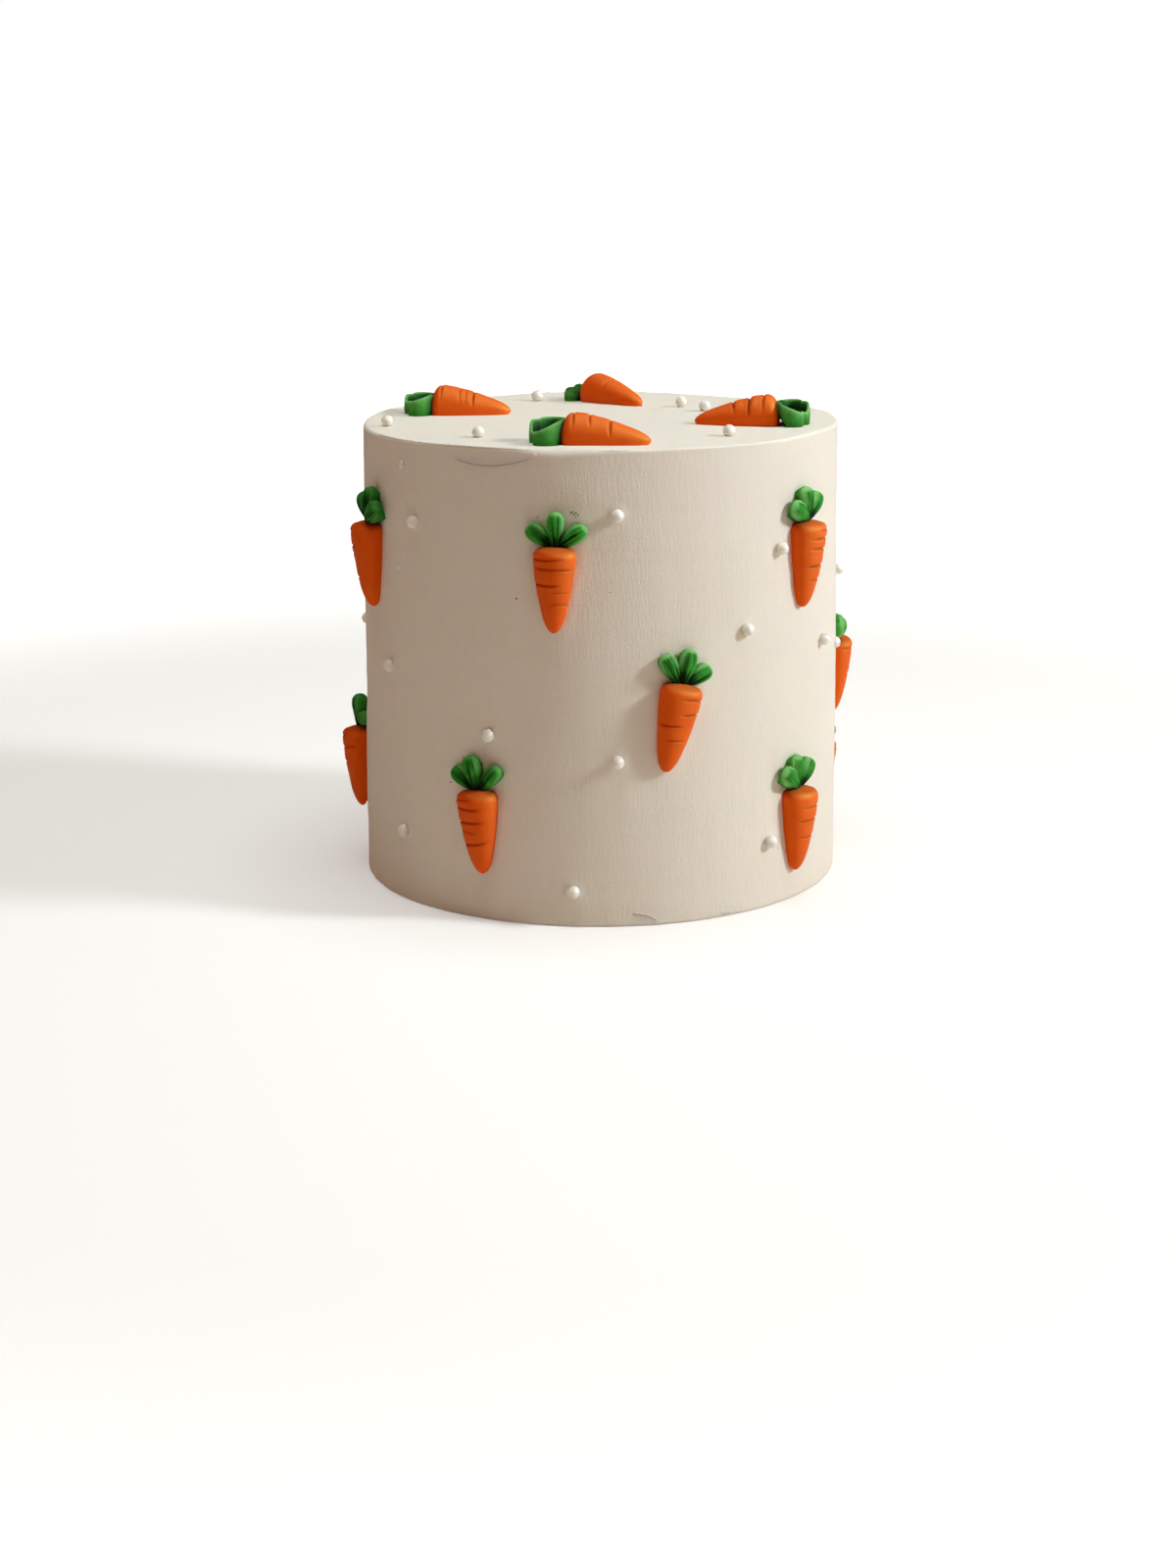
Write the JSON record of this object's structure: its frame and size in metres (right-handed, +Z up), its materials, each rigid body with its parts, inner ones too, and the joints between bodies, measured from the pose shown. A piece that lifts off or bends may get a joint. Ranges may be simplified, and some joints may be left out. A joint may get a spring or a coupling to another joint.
{
  "type": "carrot cake",
  "caption": "Tall round uncut cake in smooth cream buttercream, dotted with small orange sugar-paste carrots with green leaves and white sugar pearls on its side and top.",
  "frame": {"origin": "centre of the cake's round foot, on the surface it rests on", "axes": "+Z up; -Y is the front, which faces the viewer; +X is to the viewer's right"},
  "size_m": [0.1725, 0.1722, 0.1597],
  "materials": {
    "buttercream": "ivory buttercream, scraped smooth, satin",
    "orange_paste": "orange sugar paste, hand shaped, matt",
    "green_paste": "green sugar paste, hand shaped, matt and slightly grainy",
    "sugar_pearl": "white pearlised sugar, soft shine"
  },
  "bodies": {
    "root": {"cake": "buttercream", "side_carrot_01_root": "orange_paste", "side_carrot_01_leaves": "green_paste", "side_carrot_02_root": "orange_paste", "side_carrot_02_leaves": "green_paste", "side_carrot_03_root": "orange_paste", "side_carrot_03_leaves": "green_paste", "side_carrot_04_root": "orange_paste", "side_carrot_04_leaves": "green_paste", "side_carrot_05_root": "orange_paste", "side_carrot_05_leaves": "green_paste", "side_carrot_06_root": "orange_paste", "side_carrot_06_leaves": "green_paste", "side_carrot_07_root": "orange_paste", "side_carrot_07_leaves": "green_paste", "side_carrot_08_root": "orange_paste", "side_carrot_08_leaves": "green_paste", "side_carrot_09_root": "orange_paste", "side_carrot_09_leaves": "green_paste", "side_carrot_10_root": "orange_paste", "side_carrot_10_leaves": "green_paste", "side_carrot_11_root": "orange_paste", "side_carrot_11_leaves": "green_paste", "side_carrot_12_root": "orange_paste", "side_carrot_12_leaves": "green_paste", "side_carrot_13_root": "orange_paste", "side_carrot_13_leaves": "green_paste", "side_carrot_14_root": "orange_paste", "side_carrot_14_leaves": "green_paste", "side_carrot_15_root": "orange_paste", "side_carrot_15_leaves": "green_paste", "top_carrot_01_root": "orange_paste", "top_carrot_01_leaves": "green_paste", "top_carrot_02_root": "orange_paste", "top_carrot_02_leaves": "green_paste", "top_carrot_03_root": "orange_paste", "top_carrot_03_leaves": "green_paste", "top_carrot_04_root": "orange_paste", "top_carrot_04_leaves": "green_paste"}
  },
  "joints": []
}
